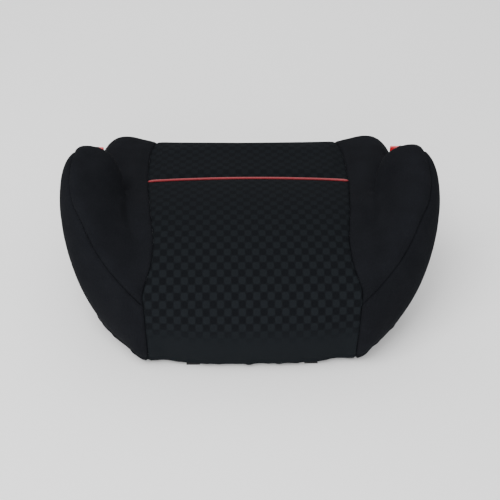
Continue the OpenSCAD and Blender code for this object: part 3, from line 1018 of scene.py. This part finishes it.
def piping(seam):
    """The red piping, laid along the seam between the middle and rear panels."""
    line = seam[np.argsort(seam[:, 0])]
    x = np.linspace(line[0, 0], line[-1, 0], 120)
    line = np.stack([x, piping_y(x), np.interp(x, line[:, 0], line[:, 2])], 1)
    smooth = np.convolve(np.pad(line[:, 2], 6, "edge"), np.ones(13) / 13, "valid")
    line[:, 2] = smooth - 0.2
    cord = new_object("red_piping", *tube(line, PIPING_RADIUS))
    ride(cord, red_cloth(), "piping_cord", "piping")


# ---- Room, light and camera ----

FLOOR_REACH = 6.0
WORLD_LIGHT = 0.85
# Name, place in metres, width in metres and power in watts of each soft light
LIGHTS = [
    ("key", (-0.6, -0.6, 1.7), 1.2, 30),
    ("fill", (1.2, -0.6, 1.5), 1.2, 1),
    ("front", (-0.2, -1.8, 0.6), 0.9, 17),
    ("back", (0.1, 1.4, 1.3), 1.4, 10),
]
LIT_POINT = Vector((0, 0, 0.08))
CAMERA_PLACE = (-0.0348, -0.8758, 0.820)
CAMERA_ANGLES = (42, 2.3, 1.1)  # pitch down, yaw and roll, in degrees


def room():
    """A pale floor, an even white world and four soft lights."""
    corners = np.array([(-1, -1, 0), (1, -1, 0), (1, 1, 0), (-1, 1, 0)]) * FLOOR_REACH
    floor = new_object("floor", corners, [(0, 1, 2, 3)], metres=True)
    m = Nodes("pale_floor")
    m.set(Roughness=0.9)
    m.shader.inputs["Base Color"].default_value = (0.96, 0.96, 0.96, 1)
    floor.data.materials.append(m.material)
    world = bpy.data.worlds.new("studio")
    world.use_nodes = True
    world.node_tree.nodes["Background"].inputs[0].default_value = (1, 1, 1, 1)
    world.node_tree.nodes["Background"].inputs[1].default_value = WORLD_LIGHT
    bpy.context.scene.world = world
    for name, source, width, power in LIGHTS:
        light = bpy.data.lights.new(name, "AREA")
        light.size = width
        light.energy = power
        lamp = bpy.data.objects.new(name, light)
        lamp.location = source
        lamp.rotation_euler = (LIT_POINT - Vector(source)).to_track_quat("-Z", "Y").to_euler()
        bpy.context.scene.collection.objects.link(lamp)


def camera():
    """The view of the seat from the front and above."""
    pitch, yaw, roll = (math.radians(angle) for angle in CAMERA_ANGLES)
    level = math.cos(pitch)
    forward = Vector((math.sin(yaw) * level, math.cos(yaw) * level, -math.sin(pitch)))
    data = bpy.data.cameras.new("camera")
    data.sensor_width = 36
    data.lens = 65
    data.shift_x = 0.002
    cam = bpy.data.objects.new("camera", data)
    turn = forward.to_track_quat("-Z", "Y").to_matrix().to_4x4() @ Matrix.Rotation(roll, 4, "Z")
    cam.matrix_world = Matrix.Translation(CAMERA_PLACE) @ turn
    bpy.context.scene.collection.objects.link(cam)
    bpy.context.scene.camera = cam


# ---- Foam, elastic and hard parts ----

FOAM_DEPTH = 7.0  # how far under the cover's surface the foam is pushed
FOAM_LEAST = 5.5  # the depth that smoothing may bring it back to
FOAM_VOXEL = 0.0032
HEM_BAND_Z = 5.08
HEM_BAND_INSET = 14.0
HEM_BAND_WIDTH = 10


def depth_in(skin, points):
    """How far inside the skin each point is, with the nearest place on the skin and its normal."""
    found = [skin.find_nearest(p)[:2] for p in points]
    nearest = np.array([f[0] for f in found])
    out = np.array([f[1] for f in found])
    return ((nearest - points) * out).sum(1), nearest, out


def foam_pad(name, node, material, skin):
    """A foam pad with soft corners and a crumbly skin, shaped from its CAD node."""
    mesh = frame["nodes"][node].data.copy()
    obj = bpy.data.objects.new(name, mesh)
    bpy.context.scene.collection.objects.link(obj)
    remesh = obj.modifiers.new("cells", "REMESH")
    remesh.mode = "VOXEL"
    remesh.voxel_size = FOAM_VOXEL
    obj.data = modified(obj)
    obj.modifiers.clear()
    mesh = obj.data
    v = smoothed(vertices_of(mesh), edges_of(mesh), 3)
    p = v * 1000
    crumb = np.sin(p[:, 0] * 0.9 + 1.3 * np.sin(p[:, 1] * 0.7)) * np.sin(p[:, 1] * 1.1 + p[:, 2] * 0.8)
    v -= normals_of(mesh) * ((1.3 + 0.3 * crumb) / 1000)[:, None]
    edges = edges_of(mesh)
    for _ in range(2):
        depth, nearest, out = depth_in(skin, v)
        through = np.array([
            skin.ray_cast(Vector(p - n * 0.0005), Vector(-n))[3] or 1.0 for p, n in zip(nearest, out)
        ])
        deepest = np.minimum(FOAM_DEPTH / 1000, through / 2)
        shallow = depth < deepest
        v[shallow] = (nearest - out * deepest[:, None])[shallow]
        v = relaxed(v, edges, 2)
    for _ in range(12):
        shallow = depth_in(skin, v)[0] < FOAM_LEAST / 1000
        v[shallow] = relaxed(v, edges, 1, 1.0)[shallow]
    mesh.vertices.foreach_set("co", v.ravel())
    mesh.update()
    ride(obj, material, "foam", node)


def arm_core(name, node, material, skin):
    """An arm's stiff core from its CAD node, with its free end kept under the cover's padding."""
    obj = bpy.data.objects.new(name, frame["nodes"][node].data.copy())
    bpy.context.scene.collection.objects.link(obj)
    v = vertices_of(obj.data)
    depth, nearest, out = depth_in(skin, v)
    shallow = depth < FOAM_LEAST / 1000
    v[shallow] = (nearest - out * FOAM_LEAST / 1000)[shallow]
    obj.data.vertices.foreach_set("co", v.ravel())
    obj.data.update()
    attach(obj, "root")
    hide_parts(node)
    finished(obj, material, 0.6, False)


def band(line, across, width, thick, closed):
    """A flat woven band: a rounded strip swept along a line, with its width across it."""
    half, edge, crown = width / 2, thick / 2, thick / 2 * 1.05
    section = [
        (-half, 0), (-half + edge, edge), (-half / 3, crown), (half / 3, crown), (half - edge, edge),
        (half, 0), (half - edge, -edge), (half / 3, -crown), (-half / 3, -crown), (-half + edge, -edge),
    ]
    rings = []
    for p, side in zip(line, across):
        rings.append(p + np.array([side * u + np.array([0, 0, w]) for u, w in section]))
    if not closed:
        return loft(rings)
    n, m = len(section), len(rings)
    faces = []
    for i in range(m):
        for j in range(n):
            here, there, k = i * n, (i + 1) % m * n, (j + 1) % n
            faces.append((here + j, here + k, there + k, there + j))
    return np.vstack(rings), faces


def hem_band(material, skin):
    """The elastic along the cover's lower edge, held inside the turned hem."""
    n = 360
    inset = np.full(n, HEM_BAND_INSET)
    for _ in range(8):
        x, y = outline(inset - HEM_BAND_WIDTH / 2, n)
        outer_edge = at(np.stack([x, y, np.full(n, HEM_BAND_Z)], 1))
        depth = depth_in(skin, outer_edge)[0] * 1000
        inset = inset + np.clip(CLOTH_T - depth, 0, 4)
        for _ in range(6):
            beside = np.roll(inset, 1) + np.roll(inset, -1)
            inset = np.maximum(inset, 0.5 * inset + 0.25 * beside)
    x, y = outline(inset, n)
    turn = np.arange(n) * 2 * math.pi / n
    line = np.stack([x, y, HEM_BAND_Z + 0.1 * np.sin(turn * 61)], 1)
    along = np.roll(line, -1, 0) - np.roll(line, 1, 0)
    across = np.stack([along[:, 1], -along[:, 0], np.zeros(n)], 1)
    across /= np.linalg.norm(across, axis=1, keepdims=True)
    strip = new_object("hem_band", *band(line, across, HEM_BAND_WIDTH, 0.5, True))
    obj = ride(strip, material, "elastic", "hem_elastic")


def hook_bands(material):
    """The four elastic loops that run from the hem to the hooks on the base plate."""
    places = (
        ("front_left", -70, True), ("front_right", 70, True),
        ("rear_left", -70, False), ("rear_right", 70, False),
    )
    for name, x, front in places:
        t = np.linspace(0, 1, 24)
        y = 45 - 2.2 - 31 * t
        z = 2.6 - 1.0 * smooth_step(t / 0.7) + 0.15 * np.sin(t * 9)
        line = np.stack([np.full(24, float(x)), y if front else 363 - y, z], 1)
        across = np.tile([1.0, 0, 0], (24, 1))
        strip = new_object(f"elastic_loop_{name}", *band(line, across, 16, 0.8, False))
        piece = ride(strip, material, "elastic", "elastic_loops")


def lathe(profile, centre, n=48):
    """Rings of a turned shape: (radius, height) points round an upright axis."""
    turn = np.arange(n) * 2 * math.pi / n
    rings = []
    for r, z in profile:
        x, y = centre[0] + r * np.cos(turn), centre[1] + r * np.sin(turn)
        rings.append(np.stack([x, y, np.full(n, z)], 1))
    return rings


FOOT = [
    (2.0, 5.4), (15.4, 5.4), (16.0, 4.9), (16.0, 1.0), (15.2, 0.15), (14.0, 0.0), (12.9, 0.0),
    (12.5, 0.9), (11.3, 0.9), (10.9, 0.0), (9.3, 0.0), (8.9, 0.9), (7.7, 0.9), (7.3, 0.0),
    (5.9, 0.0), (5.4, 1.6), (2.0, 1.9),
]


def feet(material):
    """The four ringed rubber feet, as one piece."""
    vertices, faces = [], []
    for x in (-138, 138):
        for y in (80, 300):
            v, f = loft(lathe(FOOT, (x, y)))
            start = sum(map(len, vertices))
            faces += [tuple(i + start for i in face) for face in f]
            vertices.append(v)
    obj = new_object("ringed_feet", np.vstack(vertices), faces)
    ride(obj, material, "foot_rubber", "rubber_feet")


def finished(node, material, width, curved):
    """Gives a hard CAD node its material and rounds its edges."""
    weld = node.modifiers.new("weld", "WELD")
    weld.merge_threshold = 1e-6
    bevel = node.modifiers.new("edges", "BEVEL")
    bevel.width = width / 1000
    bevel.segments = 2
    bevel.limit_method = "ANGLE"
    bevel.angle_limit = math.radians(40)
    weighted = node.modifiers.new("shading", "WEIGHTED_NORMAL")
    weighted.mode = "FACE_AREA"
    node.data.materials.clear()
    node.data.materials.append(material)
    if curved:
        smooth_shaded(node)


def inner_and_hard_parts(skin):
    """Everything but the cover: foam, elastic, feet and the hard CAD nodes."""
    dark = moulded("black_plastic", (0.012, 0.012, 0.013, 1), (0.02, 0.02, 0.022, 1), 0.5)
    red = moulded("red_plastic", (0.5, 0.008, 0.014, 1), (0.6, 0.012, 0.02, 1), 0.25,
                  strength=0.05, coat=0.6)
    rubber = moulded("rubber", (0.015, 0.015, 0.015, 1), (0.025, 0.025, 0.025, 1), 0.75)
    foam = moulded("foam", (0.25, 0.25, 0.27, 1), (0.32, 0.32, 0.34, 1), 0.9,
                   grain=1500.0, strength=0.6)
    woven = moulded("woven_elastic", (0.015, 0.015, 0.016, 1), (0.03, 0.03, 0.032, 1), 0.8,
                    grain=2200.0, strength=0.7)
    foam_pad("seat_pad_foam", "seat_foam", foam, skin)
    foam_pad("left_arm_pad_foam", "left_arm_foam", foam, skin)
    foam_pad("right_arm_pad_foam", "right_arm_foam", foam, skin)
    arm_core("left_arm_core", "left_arm_frame", dark, skin)
    arm_core("right_arm_core", "right_arm_frame", dark, skin)
    hem_band(woven, skin)
    hook_bands(woven)
    feet(rubber)
    nodes = frame["nodes"]
    metal = steel()
    for name, material, width, curved in (
        ("seat_shell", dark, 0.5, False),
        ("bottom_cover", dark, 0.6, False),
        ("left_belt_guide", red, 0.9, True),
        ("right_belt_guide", red, 0.9, True),
        ("cover_hooks", dark, 0.3, False),
        ("shell_screws", metal, 0.15, True),
        ("arm_screws", metal, 0.15, True),
        ("belt_guide_screws", metal, 0.15, True),
    ):
        finished(nodes[name], material, width, curved)


def main():
    skin = cover()
    inner_and_hard_parts(skin)
    room()
    camera()


main()
